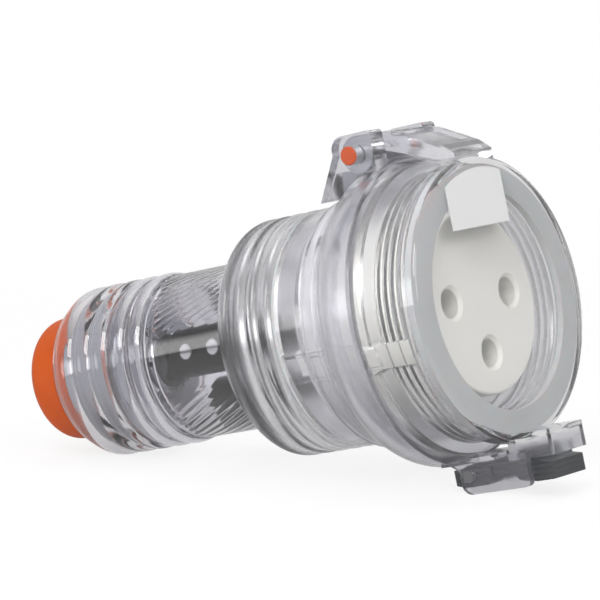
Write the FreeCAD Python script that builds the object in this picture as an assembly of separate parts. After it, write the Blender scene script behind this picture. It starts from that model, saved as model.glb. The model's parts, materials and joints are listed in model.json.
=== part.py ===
import FreeCAD, Part
import math
import os

# Inline socket connector. Sizes are millimetres and degrees.
# The shapes are drawn along the socket's own axis, which is X: x = 0 is the front of the
# closed lid and the cable end lies at negative x. The last step lays the connector down.
# Radii grow outwards from the contacts, and lengths run back from the lid.

# Clearances
SLIDE = 0.05
MOVING = 0.35
PIN_PLAY = 0.06
SEAL_GAP = 0.3
THREAD_PLAY = 0.2

# How far a cutting tool reaches past the piece, and how near two places count as one
CUT_PAST = 1.0
MEET = 0.01

# Shares of a thread's pitch: each flank, and the place where the crest ends
THREAD_FLANK = 0.22
THREAD_HALF = 0.5

# Contacts, on one circle round the axis
HOLE_CIRCLE = 12.9
HOLE_ANGLES = [174.6, 5.4, 270.0]
CONTACT_BORE = 3.5
CONTACT_WALL = 1.0
CONTACT_TAIL = 4.0
CONTACT_END = 8.0
CONTACT_SLIT = 14.0
SLIT_WIDTH = 0.8
SHANK_R = 3.2
SHANK_REACH = 25.0
TERMINAL_LENGTH = 21.0
TERMINAL_WALL = 3.6
WIRE_BORE = 2.6
WIRE_DEPTH = 17.0
CLAMP_SCREW_R = 1.9
CLAMP_SCREW_FIRST = 5.5
CLAMP_SCREW_PITCH = 9.0
CLAMP_SCREW_PROUD = 0.2
CLAMP_SCREW_END = 0.9
SCREW_SLOT = 0.7
SCREW_SLOT_RUNOUT = 0.5

# Insert that holds the contacts
HOLE_EASE = 0.2
HOLE_LIP = 5.8
HOLE_FLARE = 0.9
INSERT_RIM = 5.5
INSERT_WALL = 3.4
INSERT_FLOOR = 1.7
TOWER_WALL = 2.6
FACE_LEDGE = 0.5
FACE_DEPTH = 2.8
FACE_EDGE = 0.8
INSERT_TAIL = 10.0
KEY_HIGH = 2.4
KEY_ANGLE = 194.0
KEY_PLAY = 0.4
KEY_END = 0.3
KEY_LAP = 1.0
LOCK_RING_WIDTH = 5.3
LOCK_RING_THICK = 3.9
LOCK_RING_EDGE = 0.6
LOCK_SCREW_ANGLES = [75.0, 255.0, 310.0, 130.0]
LOCK_SCREW_R = 1.2
LOCK_HEAD_R = 2.0
LOCK_HEAD_HEIGHT = 1.9
LOCK_SLOT_DEEP = 0.8
LOCK_SCREW_TIP = 1.0
LOCK_SCREW_ROOM = 0.8
LOCK_SCREW_LAP = 0.5

# Lid
LID_PLATE = 2.2
LID_SKIRT = 5.2
LID_WALL = 1.9
LID_PLAY = 0.9
LID_EDGE = 1.3
SEAL_THICK = 2.2
SEAL_WIDTH = 6.2
SEAL_EDGE = 0.5
LABEL_HALF = 12.5
LABEL_ASIDE = -2.9
LABEL_INSET = 1.6
LABEL_HIGH = 14.6
LABEL_THICK = 0.3

# Arm from the lid to its hinge
ARM_HALF = 8.3
ARM_THICK = 4.1
ARM_DROP = 3.2
ARM_NOSE = 4.0
ARM_BEND = 13.2
ARM_POCKET = 1.0
ARM_RIM = 1.6
ARM_SAG = 0.4
ARM_FALL = 1.7
ARM_NOSE_LOW = 0.35
ARM_LAP = 0.5
ARM_HEEL = 0.7
ARM_FOOT = 1.0
POCKET_BACK = 4.0
POCKET_FALL = 0.9
POCKET_NOSE = 0.6
KNUCKLE_R = 4.7
KNUCKLE_EASE = 0.3

# Tab below the lid
TAB_REACH = 11.0
TAB_HALF = 8.1
TAB_SINK = 0.7
TAB_DROP = 3.8
TAB_WALL = 1.4
TAB_ROUND = 1.1
TAB_ROUND_SHARE = 0.8
TAB_LAP = 1.0
CATCH_BACK = 1.6
CATCH_THICK = 1.8

# Socket body
MOAT = 3.65
MOUTH_WALL = 4.8
MOUTH_EDGE = 0.7
BORE_STEPS = 3
BORE_STEP = 0.45
BORE_STEP_LENGTH = 4.0
WELL_DEPTH = 25.5
WEB_THICK = 3.0
THREAD_SETBACK = 1.4
THREAD_DEEP = 1.6
THREAD_PITCH = 2.1
THREAD_TURNS = 4
THREAD_RELIEF = 0.2
THREAD_LEAD = 0.3
CHANNEL_WIDTH = 6.6
CHANNEL_DEEP = 0.15
CHANNEL_LEAD = 0.5
SHOULDER_DEEP = 2.7
SHOULDER_LENGTH = 3.0
SHOULDER_RISE = 0.5
TUBE_WALL = 2.8
RAIL_HEIGHT = 0.5
RAIL_WIDTH = 0.7
RAIL_END = 0.5
RAIL_LAP = 0.8

# Collar round the body, which carries hinge and latch
COLLAR_WALL = 2.6
COLLAR_LEDGE = 0.4
COLLAR_BAND = 4.0
COLLAR_TAIL = 9.0
COLLAR_FOOT = 1.4
COLLAR_SEAT = 3.5
COLLAR_EDGE = 0.7

# Hinge
HINGE_SETBACK = 5.2
HINGE_RISE = 2.7
HINGE_PIN_R = 2.4
HINGE_CAP = 1.2
HINGE_CAP_PROUD = 0.4
HINGE_CAP_ROUND = 0.35
HINGE_CAP_SHARE = 0.9
HINGE_EAR_GAP = 0.6
HINGE_EAR_THICK = 5.4
HINGE_EAR_RISE = 5.2
HINGE_EAR_FRONT = 7.6
HINGE_EAR_BACK = 4.9
HINGE_EAR_FOOT = 6.5
HINGE_EAR_ROUND = 1.2
HINGE_WEB = 1.6
HINGE_WEB_DROP = 3.6
HINGE_WEB_INSET = 0.6
HINGE_EAR_LAP = 1.0
HINGE_CORNER_BACK = 1.2
HINGE_CORNER_RISE = 1.3
HINGE_CORNER_STEP = 0.5

# Latch
LATCH_X = -13.5
LATCH_PIN_R = 1.5
LATCH_EAR_THICK = 2.0
LATCH_EAR_DROP = 4.5
LATCH_EAR_BACK = 2.4
LATCH_EAR_FRONT = 4.5
LATCH_EAR_ROUND = 3.0
LATCH_EAR_NOSE = 1.5
BRACKET_GAP = 0.2
BRACKET_THICK = 1.3
BRACKET_BACK = 7.5
BRACKET_FRONT = -5.6
BRACKET_FLARE = 3.5
BRACKET_SKIN = 0.4
BRACKET_LAP = 0.5
BRACKET_CHIN = 1.5
WINDOW_BACK = 4.4
WINDOW_FRONT = 0.5
WINDOW_ROOM = 0.25
LEVER_BOSS_R = 2.8
LEVER_ROOM = 0.4
LEVER_TAIL = 5.5
LEVER_BACK_ROOM = 1.7
LEVER_BELLY = 2.7
LEVER_BACK_TOP = 1.9
LEVER_BACK_LOW = 2.0
LEVER_SLOPE = 2.5
ROOT_LOW_END = 4.5
ROOT_END = 6.0
ROOT_STEP = 0.6
ARM_START = 5.0
ARM_THROAT = 1.2
FINGER_INSET = 0.95
FINGER_FRONT = 9.5
FINGER_GRIPS = 3
FINGER_GRIP_PITCH = 1.7
FINGER_GRIP_WIDE = 0.6
FINGER_GRIP_DEEP = 0.3
FINGER_GRIP_END = 1.6
FINGER_LOW = 3.8
FINGER_HIGH = 0.5
FINGER_BEND = 4.5
KNEE_X = -1.8
KNEE_DROP = 0.8
HEEL_DROP = 2.8
TOOTH_THICK = 2.8
TOOTH_REACH = 2.2
TOOTH_BEVEL = 1.0
TOOTH_LAP = 0.5
SPRING_WIRE_R = 0.32
SPRING_TURNS = 4
SPRING_SLOT = 3.5
SPRING_ROOM = 0.2
SPRING_PRESS = 0.04
SPRING_COIL_ROOM = 4.0
SPRING_SLOT_TAIL = 1.5
SPRING_SLOT_HALF = 5.0
SPRING_FRONT = 8.5
SPRING_DROP = 1.2
SPRING_BACK = 4.0
SPRING_CLEAR = 0.1

# Rear body
SEAL_RING = 1.2
SEAL_INSET = 0.4
SPIGOT_WALL = 2.2
SPIGOT_LENGTH = 5.4
SPIGOT_ROOM = 0.8
JOINT_EDGE = 0.2
JOINT_LAND = 0.8
GRIP_DEEP = 1.5
GRIP_PITCH = 4.5
GRIP_COUNT = 4
GRIP_HALF = 0.5
GRIP_FLAT = 0.8
GRIP_SHORT = 0.4
GRIP_LAST_DROP = 0.6
REAR_WALL = 2.6
NECK_ROOM = 0.3
NECK_WALL = 2.4
NECK_TAIL = 7.5
NECK_FILLET = 1.4
NECK_EDGE = 0.5
NECK_FUNNEL = 2.0
NECK_STEP_SHORT = 1.0
NECK_STEP_LONG = 2.5
NECK_THREAD_LEAD = 1.2
NECK_THREAD_DROP = 2.1
NECK_THREAD_DEEP = 0.8
NECK_THREAD_PITCH = 2.2
NECK_THREAD_TURNS = 6
NECK_TIP_STEP = 2.0

# Gland
NUT_WALL = 2.0
NUT_RIBS = 5
NUT_RIB_PITCH = 6.0
NUT_RIB_DEEP = 1.0
NUT_RIB_HALF = 0.5
NUT_RIB_EDGE = 0.3
NUT_RIB_LEAD = 0.6
NUT_OVERLAP = 0.5
NUT_BELLY_BACK = 0.45
NUT_BELLY_RIM = 0.58
NUT_BELLY_OUT = 1.0
NUT_ROOM = 0.2
NUT_END_ROOM = 0.6
NUT_TAPER = 5.0
NUT_LIP = 0.7
NUT_LIP_LENGTH = 3.8
GRIP_FLANGE = 1.6
GRIP_CONE = 2.5
GRIP_CONE_RISE = 1.5
GRIP_CONE_END = 1.0
GRIP_SLEEVE = 4.8
GRIP_WALL = 1.2
CORD_SEAL_WALL = 1.2
CORD_SEAL_PROUD = 0.6
GRIP_SLOTS = 6
GRIP_SLOT = 1.2
FLANGE_INSET = 1.2
WASHER_THICK = 1.5
WASHER_ROOM = 3.5
PRESS_WALL = 6.0
GROMMET_FLANGE = 2.1
GROMMET_STEP = 2.1
GROMMET_ROOM = 0.6
GROMMET_REACH = 11.0
GROMMET_ROUND = 4.0
GROMMET_LIP = 1.5
CABLE_R = 5.5

# Radii that follow, from the contacts outwards
CONTACT_R = CONTACT_BORE + CONTACT_WALL
HOLE_R = CONTACT_BORE + HOLE_EASE
TERMINAL_R = WIRE_BORE + TERMINAL_WALL
INSERT_R = HOLE_CIRCLE + CONTACT_R + INSERT_RIM
FACE_R = INSERT_R + FACE_LEDGE
WELL_R = FACE_R + MOAT
BORE_R = WELL_R + BORE_STEP * BORE_STEPS
MOUTH_R = BORE_R + MOUTH_WALL
THREAD_ROOT = MOUTH_R - THREAD_RELIEF
THREAD_CREST = THREAD_ROOT + THREAD_DEEP
SHOULDER_R = THREAD_CREST + SHOULDER_DEEP
TUBE_BORE_R = INSERT_R + LOCK_RING_WIDTH
TUBE_R = TUBE_BORE_R + TUBE_WALL
LOCK_CIRCLE = (INSERT_R + TUBE_BORE_R) / 2
COLLAR_BORE = TUBE_R + SLIDE
COLLAR_IN_R = SHOULDER_R - COLLAR_LEDGE
COLLAR_R = COLLAR_IN_R + COLLAR_WALL
SKIRT_IN = MOUTH_R + LID_PLAY
LID_R = SKIRT_IN + LID_WALL
WINDOW_R = SKIRT_IN - SEAL_WIDTH
NECK_BORE = HOLE_CIRCLE + TERMINAL_R + CLAMP_SCREW_PROUD + NECK_ROOM
NECK_R = NECK_BORE + NECK_WALL
NECK_TIP_BORE = NECK_BORE - NECK_TIP_STEP
NECK_THREAD_ROOT = NECK_R - NECK_THREAD_DROP
NECK_THREAD_CREST = NECK_THREAD_ROOT + NECK_THREAD_DEEP
NUT_BORE = NECK_THREAD_CREST + THREAD_PLAY
NUT_R = NUT_BORE + NUT_WALL
FLANGE_R = NECK_THREAD_ROOT - FLANGE_INSET
GROMMET_R = FLANGE_R - GROMMET_STEP
NUT_MOUTH = GROMMET_R + GROMMET_ROOM
NUT_RIM = NUT_MOUTH + NUT_LIP
CORD_SEAL_BORE = CABLE_R + MOVING
CORD_SEAL_R = CORD_SEAL_BORE + CORD_SEAL_WALL
SLEEVE_BORE = CORD_SEAL_R + SLIDE
SLEEVE_R = SLEEVE_BORE + GRIP_WALL

# Places that follow, from the lid backwards
MOUTH_X = -(LID_PLATE + SEAL_THICK + SEAL_GAP)
FACE_X = MOUTH_X - FACE_DEPTH
WELL_FLOOR = FACE_X - WELL_DEPTH
WEB_BACK = WELL_FLOOR - WEB_THICK
THREAD_START = -(LID_SKIRT + THREAD_SETBACK)
THREAD_END = THREAD_START - THREAD_PITCH * THREAD_TURNS
SHOULDER_BACK = THREAD_END - SHOULDER_LENGTH
INSERT_BACK = WEB_BACK - INSERT_TAIL
CONTACT_FRONT = FACE_X - HOLE_LIP - SLIDE
CONTACT_BACK = INSERT_BACK - CONTACT_TAIL
TERMINAL_FRONT = INSERT_BACK - SHANK_REACH
TERMINAL_BACK = TERMINAL_FRONT - TERMINAL_LENGTH
LOCK_RING_BACK = WEB_BACK - LOCK_RING_THICK
SPIGOT_FRONT = LOCK_RING_BACK - LOCK_HEAD_HEIGHT - SPIGOT_ROOM
TUBE_BACK = SPIGOT_FRONT - SPIGOT_LENGTH
JOINT_X = TUBE_BACK - SEAL_RING
GRIP_START = JOINT_X - JOINT_LAND
REAR_FACE = GRIP_START - GRIP_PITCH * GRIP_COUNT + GRIP_SHORT
COLLAR_FRONT = SHOULDER_BACK - SLIDE
COLLAR_CREST = COLLAR_FRONT - COLLAR_BAND
COLLAR_BACK = TUBE_BACK + COLLAR_TAIL
HINGE_X = COLLAR_CREST - HINGE_SETBACK
NECK_END = TERMINAL_BACK - NECK_TAIL
NECK_THREAD_START = NECK_END - NECK_THREAD_LEAD
NECK_TIP = NECK_THREAD_START - NECK_THREAD_PITCH * NECK_THREAD_TURNS
NUT_FRONT = NECK_END - NUT_OVERLAP
NUT_RIBS_BACK = NUT_FRONT - NUT_RIBS * NUT_RIB_PITCH
NUT_BACK = NUT_RIBS_BACK - NUT_TAPER
GROMMET_SEAT = NUT_BACK + NUT_LIP_LENGTH
GROMMET_FRONT = GROMMET_SEAT + GROMMET_FLANGE
GROMMET_BACK = NUT_BACK - GROMMET_REACH

# Heights and widths that follow at hinge and latch
HINGE_Z = COLLAR_R + HINGE_RISE
HINGE_EAR_TOP = HINGE_Z + HINGE_EAR_RISE
HINGE_EAR_IN = ARM_HALF + HINGE_EAR_GAP
HINGE_EAR_OUT = HINGE_EAR_IN + HINGE_EAR_THICK
TAB_TOP = -SKIRT_IN + TAB_SINK
TAB_LOW = -LID_R - TAB_DROP
CATCH_FRONT = CATCH_THICK - CATCH_BACK
BRACKET_TOP = -SHOULDER_R - BRACKET_GAP
BRACKET_LOW = BRACKET_TOP - BRACKET_THICK
LATCH_Z = BRACKET_LOW - LEVER_BOSS_R - LEVER_ROOM
LATCH_EAR_IN = TAB_HALF + MOVING + SLIDE
LATCH_EAR_OUT = LATCH_EAR_IN + LATCH_EAR_THICK
LATCH_EAR_REAR = LATCH_X - LATCH_EAR_BACK
LATCH_EAR_LOW = LATCH_Z - LATCH_EAR_DROP
LEVER_HALF = LATCH_EAR_IN - MOVING
LEVER_TOP = TAB_LOW - MOVING
FINGER_HALF = LEVER_HALF - FINGER_INSET
TOOTH_HALF = TAB_HALF - TAB_WALL - MOVING - 2 * SLIDE
CHANNEL_HALF = CHANNEL_WIDTH / 2


def wire(start, steps, place):
    # steps are end points of lines, or (middle, end) of arcs; place turns a pair into a point
    edges = []
    here = start
    for step in steps:
        if isinstance(step[0], tuple):
            edges.append(Part.Arc(place(here), place(step[0]), place(step[1])).toShape())
            here = step[1]
        else:
            edges.append(Part.makeLine(place(here), place(step)))
            here = step
    edges.append(Part.makeLine(place(here), place(start)))
    return Part.Wire(edges)


def turned(start, *steps):
    # revolves a closed outline of (x, radius) pairs about the socket's axis
    outline = wire(start, steps, lambda p: FreeCAD.Vector(p[0], 0, p[1]))
    return Part.Face(outline).revolve(FreeCAD.Vector(0, 0, 0), FreeCAD.Vector(1, 0, 0), 360)


def slab(y0, y1, start, *steps):
    # a side view of (x, z) pairs, given thickness from y0 to y1
    outline = wire(start, steps, lambda p: FreeCAD.Vector(p[0], y0, p[1]))
    return Part.Face(outline).extrude(FreeCAD.Vector(0, y1 - y0, 0))


def box(x0, x1, y0, y1, z0, z1):
    return Part.makeBox(x1 - x0, y1 - y0, z1 - z0, FreeCAD.Vector(x0, y0, z0))


def along_x(x0, x1, y, z, r):
    return Part.makeCylinder(r, x1 - x0, FreeCAD.Vector(x0, y, z), FreeCAD.Vector(1, 0, 0))


def along_y(x, z, r, y0, y1):
    return Part.makeCylinder(r, y1 - y0, FreeCAD.Vector(x, y0, z), FreeCAD.Vector(0, 1, 0))


def about_axis(shape, angle):
    turned_copy = shape.copy()
    turned_copy.rotate(FreeCAD.Vector(0, 0, 0), FreeCAD.Vector(1, 0, 0), angle)
    return turned_copy


def arc_middle(centre, radius, degrees):
    a = math.radians(degrees)
    return (centre[0] + radius * math.cos(a), centre[1] + radius * math.sin(a))


def s_curve(p, q):
    # two equal arcs that leave p and reach q level with the axis
    half = ((p[0] + q[0]) / 2, (p[1] + q[1]) / 2)
    run = abs(half[0] - p[0])
    rise = half[1] - p[1]
    radius = (run * run + rise * rise) / (2 * abs(rise))
    sweep = math.asin(run / radius) / 2
    forward = 1 if q[0] > p[0] else -1
    upward = 1 if rise > 0 else -1
    dx = forward * radius * math.sin(sweep)
    dz = upward * radius * (1 - math.cos(sweep))
    return [((p[0] + dx, p[1] + dz), half), ((q[0] - dx, q[1] - dz), q)]


def thread(start, root, crest, pitch, turns):
    # outline of ring-shaped threads, from the front backwards
    points = []
    for i in range(turns):
        x = start - i * pitch
        points += [(x, root), (x - THREAD_FLANK * pitch, crest)]
        points += [(x - THREAD_HALF * pitch, crest), (x - (THREAD_HALF + THREAD_FLANK) * pitch, root)]
    return points


def on_circle(radius, angles):
    return [(radius * math.cos(math.radians(a)), radius * math.sin(math.radians(a))) for a in angles]


def make_lid():
    edge = (-LID_EDGE, LID_R - LID_EDGE)
    shell = turned((0, 0), (0, edge[1]), (arc_middle(edge, LID_EDGE, 45), (edge[0], LID_R)),
                   (-LID_SKIRT, LID_R), (-LID_SKIRT, SKIRT_IN), (-LID_PLATE, SKIRT_IN), (-LID_PLATE, 0))
    return shell.fuse([lid_arm(), lid_tab()]).removeSplitter()


def lid_arm():
    top = HINGE_Z + KNUCKLE_R
    bend = HINGE_X + ARM_BEND
    arm = slab(-ARM_HALF, ARM_HALF, (HINGE_X, top),
               ((HINGE_X + ARM_BEND / 2, top - ARM_SAG), (bend, top - ARM_FALL)),
               (-ARM_DROP, LID_R + ARM_NOSE), (0, LID_R + ARM_NOSE * ARM_NOSE_LOW), (0, SKIRT_IN + ARM_LAP),
               (-LID_SKIRT + ARM_FOOT, SKIRT_IN + ARM_LAP), (-LID_SKIRT, LID_R + ARM_HEEL),
               (HINGE_X + KNUCKLE_R + KNUCKLE_EASE, top - ARM_THICK - KNUCKLE_EASE), (HINGE_X, HINGE_Z))
    arm = arm.fuse(along_y(HINGE_X, HINGE_Z, KNUCKLE_R, -ARM_HALF, ARM_HALF))
    rim = ARM_HALF - ARM_RIM
    front = -ARM_DROP - ARM_RIM
    rear = bend - POCKET_BACK
    pocket = slab(-rim, rim, (rear, top + CUT_PAST), (rear, top - POCKET_FALL - ARM_POCKET),
                  (bend, top - ARM_FALL - ARM_POCKET), (front, LID_R + ARM_NOSE + POCKET_NOSE - ARM_POCKET),
                  (front, top + CUT_PAST))
    bore = along_y(HINGE_X, HINGE_Z, HINGE_PIN_R + PIN_PLAY, -ARM_HALF - CUT_PAST, ARM_HALF + CUT_PAST)
    return arm.cut(pocket).cut(bore)


def lid_tab():
    inner = TAB_HALF - TAB_WALL
    tab = box(-TAB_LAP, TAB_REACH, -TAB_HALF, TAB_HALF, TAB_LOW, TAB_TOP)
    tab = tab.fuse(box(-CATCH_BACK, 0, -TAB_HALF, TAB_HALF, TAB_LOW, -SKIRT_IN))
    tab = tab.cut(turned((-LID_SKIRT, 0), (-LID_SKIRT, SKIRT_IN), (-LID_PLATE, SKIRT_IN), (-LID_PLATE, 0)))
    tab = tab.cut(box(CATCH_FRONT, TAB_REACH - TAB_WALL, -inner, inner,
                      TAB_LOW - CUT_PAST, TAB_TOP - TAB_WALL))
    corners = [e for e in tab.Edges if is_corner(e, TAB_REACH, TAB_HALF)]
    return tab.makeFillet(min(TAB_ROUND, TAB_WALL * TAB_ROUND_SHARE), corners)


def is_corner(edge, x, y):
    mid = edge.CenterOfMass
    upright = abs(edge.BoundBox.XLength) < MEET and abs(edge.BoundBox.YLength) < MEET
    return upright and abs(mid.x - x) < MEET and abs(abs(mid.y) - y) < MEET


def make_lid_seal():
    front = -LID_PLATE
    back = front - SEAL_THICK
    outer = SKIRT_IN - SLIDE
    return turned((front, WINDOW_R), (front, outer), (back + SEAL_EDGE, outer), (back, outer - SEAL_EDGE),
                  (back, WINDOW_R + SEAL_EDGE), (back + SEAL_EDGE, WINDOW_R))


def make_label_plate():
    high = LID_R - LID_EDGE - LABEL_INSET
    low = high - LABEL_HIGH
    left = LABEL_ASIDE - LABEL_HALF
    right = LABEL_ASIDE + LABEL_HALF
    heights = [math.sqrt(high * high - y * y) for y in (left, LABEL_ASIDE, right)]
    outline = wire((left, low),
                   [(right, low), (right, heights[2]), ((LABEL_ASIDE, heights[1]), (left, heights[0]))],
                   lambda p: FreeCAD.Vector(0, p[0], p[1]))
    return Part.Face(outline).extrude(FreeCAD.Vector(LABEL_THICK, 0, 0))


def make_hinge_pin():
    reach = HINGE_EAR_OUT - HINGE_CAP - SLIDE
    return along_y(HINGE_X, HINGE_Z, HINGE_PIN_R, -reach, reach)


def make_hinge_caps():
    near = HINGE_EAR_OUT - HINGE_CAP
    far = HINGE_EAR_OUT + HINGE_CAP_PROUD
    caps = []
    for y0, y1 in ((-far, -near), (near, far)):
        cap = along_y(HINGE_X, HINGE_Z, HINGE_PIN_R, y0, y1)
        rims = [e for e in cap.Edges if abs(abs(e.CenterOfMass.y) - far) < MEET]
        caps.append(cap.makeFillet(min(HINGE_CAP_ROUND, HINGE_CAP_PROUD * HINGE_CAP_SHARE), rims))
    return Part.makeCompound(caps)


def make_socket_body():
    bore = []
    for i in range(BORE_STEPS, 0, -1):
        x = MOUTH_X - BORE_STEP_LENGTH * i
        bore += [(x, BORE_R - BORE_STEP * i), (x, BORE_R - BORE_STEP * (i - 1))]
    rings = thread(THREAD_START, THREAD_ROOT, THREAD_CREST, THREAD_PITCH, THREAD_TURNS)
    body = turned((MOUTH_X, BORE_R), (MOUTH_X, MOUTH_R - MOUTH_EDGE), (MOUTH_X - MOUTH_EDGE, MOUTH_R),
                  (THREAD_START + THREAD_LEAD, MOUTH_R), *rings, (THREAD_END, THREAD_ROOT),
                  (THREAD_END - SHOULDER_RISE, SHOULDER_R - SHOULDER_RISE),
                  (THREAD_END - 2 * SHOULDER_RISE, SHOULDER_R),
                  (SHOULDER_BACK, SHOULDER_R), (SHOULDER_BACK, TUBE_R), (TUBE_BACK, TUBE_R),
                  (TUBE_BACK, TUBE_BORE_R), (WEB_BACK, TUBE_BORE_R), (WEB_BACK, INSERT_R + SLIDE),
                  (WELL_FLOOR, INSERT_R + SLIDE), (WELL_FLOOR, WELL_R), *bore)
    body = body.cut(about_axis(thread_channel(), KEY_ANGLE))
    for rail in rails(0.0, TUBE_BACK + RAIL_END, SHOULDER_BACK):
        body = body.fuse(about_axis(rail, KEY_ANGLE))
    for y, z in on_circle(LOCK_CIRCLE, LOCK_SCREW_ANGLES):
        body = body.cut(along_x(WEB_BACK - CUT_PAST, WELL_FLOOR - LOCK_SCREW_ROOM, y, z,
                                LOCK_SCREW_R + SLIDE))
    return body.removeSplitter()


def thread_channel():
    floor = math.sqrt(THREAD_ROOT * THREAD_ROOT - CHANNEL_HALF * CHANNEL_HALF) - CHANNEL_DEEP
    return box(SHOULDER_BACK - CUT_PAST, THREAD_START + CHANNEL_LEAD, floor, SHOULDER_R + CUT_PAST,
               -CHANNEL_HALF, CHANNEL_HALF)


def rails(room, back, front):
    # the two key ribs on the tube's outside, or with some room the slots that take them
    half = RAIL_WIDTH / 2 + room
    top = TUBE_R + RAIL_HEIGHT + room
    low = TUBE_R - RAIL_LAP
    return [box(back, front, low, top, z - half, z + half) for z in (-CHANNEL_HALF, CHANNEL_HALF)]


def make_lid_collar():
    foot = (COLLAR_BACK, TUBE_R + COLLAR_FOOT)
    seat = (COLLAR_BACK + COLLAR_SEAT, COLLAR_BORE)
    outer = turned((COLLAR_BACK, 0), foot, *s_curve(foot, (COLLAR_CREST, COLLAR_R)),
                   (COLLAR_FRONT - COLLAR_EDGE, COLLAR_R), (COLLAR_FRONT, COLLAR_R - COLLAR_EDGE),
                   (COLLAR_FRONT, 0))
    back = COLLAR_BACK - CUT_PAST
    front = COLLAR_FRONT + CUT_PAST
    inner = turned((back, 0), (back, COLLAR_BORE), seat, *s_curve(seat, (COLLAR_CREST, COLLAR_IN_R)),
                   (front, COLLAR_IN_R), (front, 0))
    collar = outer.fuse(hinge_ears() + latch_bracket()).cut(inner)
    across = HINGE_EAR_OUT + CUT_PAST
    low_across = LATCH_EAR_OUT + CUT_PAST
    pins = [along_y(HINGE_X, HINGE_Z, HINGE_PIN_R + SLIDE / 2, -across, across),
            along_y(LATCH_X, LATCH_Z, LATCH_PIN_R + SLIDE / 2, -low_across, low_across)]
    rooms = [along_y(HINGE_X, HINGE_Z, KNUCKLE_R + MOVING, -HINGE_EAR_IN, HINGE_EAR_IN), lever_room()]
    slots = rails(MOVING, back, front)
    for tool in pins + rooms + [about_axis(slot, KEY_ANGLE) for slot in slots]:
        collar = collar.cut(tool)
    return collar.removeSplitter()


def lever_room():
    back = LATCH_X - LEVER_TAIL - LEVER_BACK_ROOM
    low = -COLLAR_R - CUT_PAST
    return box(back, COLLAR_FRONT + CUT_PAST, -LATCH_EAR_IN, LATCH_EAR_IN, low, BRACKET_LOW)


def hinge_ears():
    foot = TUBE_R + HINGE_EAR_LAP
    rear = HINGE_X - HINGE_EAR_BACK
    front = HINGE_X + HINGE_EAR_FRONT
    corner = (HINGE_X - HINGE_CORNER_BACK, HINGE_Z + HINGE_CORNER_RISE)
    nose = (front - HINGE_EAR_ROUND, HINGE_EAR_TOP - HINGE_EAR_ROUND)
    outline = [(rear - HINGE_EAR_FOOT, foot), (rear, corner[1] - HINGE_CORNER_STEP),
               (arc_middle(corner, HINGE_EAR_TOP - corner[1], 140), (corner[0], HINGE_EAR_TOP)),
               (nose[0], HINGE_EAR_TOP), (arc_middle(nose, HINGE_EAR_ROUND, 45), (front, nose[1])),
               (front, foot)]
    ears = []
    for y0, y1 in ((-HINGE_EAR_OUT, -HINGE_EAR_IN), (HINGE_EAR_IN, HINGE_EAR_OUT)):
        ears.append(slab(y0, y1, *outline))
    web_top = HINGE_Z - HINGE_WEB_DROP
    web_front = rear - HINGE_WEB_INSET
    half = HINGE_EAR_IN + HINGE_EAR_LAP
    web = slab(-half, half, (rear - HINGE_EAR_FOOT, foot), (rear - HINGE_WEB - HINGE_WEB_INSET, web_top),
               (web_front, web_top), (web_front, foot))
    return ears + [web]


def latch_bracket():
    r = LATCH_EAR_ROUND
    low = (LATCH_EAR_REAR + r, LATCH_EAR_LOW + r)
    nose = (LATCH_EAR_FRONT - LATCH_EAR_NOSE, LATCH_EAR_LOW + LATCH_EAR_NOSE)
    outline = [(LATCH_EAR_REAR - BRACKET_FLARE, BRACKET_TOP - BRACKET_SKIN),
               (LATCH_EAR_REAR, BRACKET_LOW - BRACKET_CHIN),
               (LATCH_EAR_REAR, low[1]), (arc_middle(low, r, 225), (low[0], LATCH_EAR_LOW)),
               (nose[0], LATCH_EAR_LOW),
               (arc_middle(nose, LATCH_EAR_NOSE, 315), (LATCH_EAR_FRONT, nose[1])),
               (LATCH_EAR_FRONT, BRACKET_TOP - BRACKET_LAP), (BRACKET_FRONT, BRACKET_TOP - BRACKET_LAP),
               (BRACKET_FRONT, BRACKET_TOP - BRACKET_SKIN)]
    pieces = []
    for y0, y1 in ((-LATCH_EAR_OUT, -LATCH_EAR_IN), (LATCH_EAR_IN, LATCH_EAR_OUT)):
        pieces.append(slab(y0, y1, *outline))
    back = LATCH_X - BRACKET_BACK
    plate = box(back, BRACKET_FRONT, -LATCH_EAR_OUT, LATCH_EAR_OUT, BRACKET_LOW, BRACKET_TOP)
    half = SPRING_SLOT / 2 + WINDOW_ROOM
    window = box(LATCH_X - WINDOW_BACK, LATCH_X - WINDOW_FRONT, -half, half,
                 BRACKET_LOW - CUT_PAST, BRACKET_TOP + CUT_PAST)
    return pieces + [plate.cut(window)]


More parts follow.
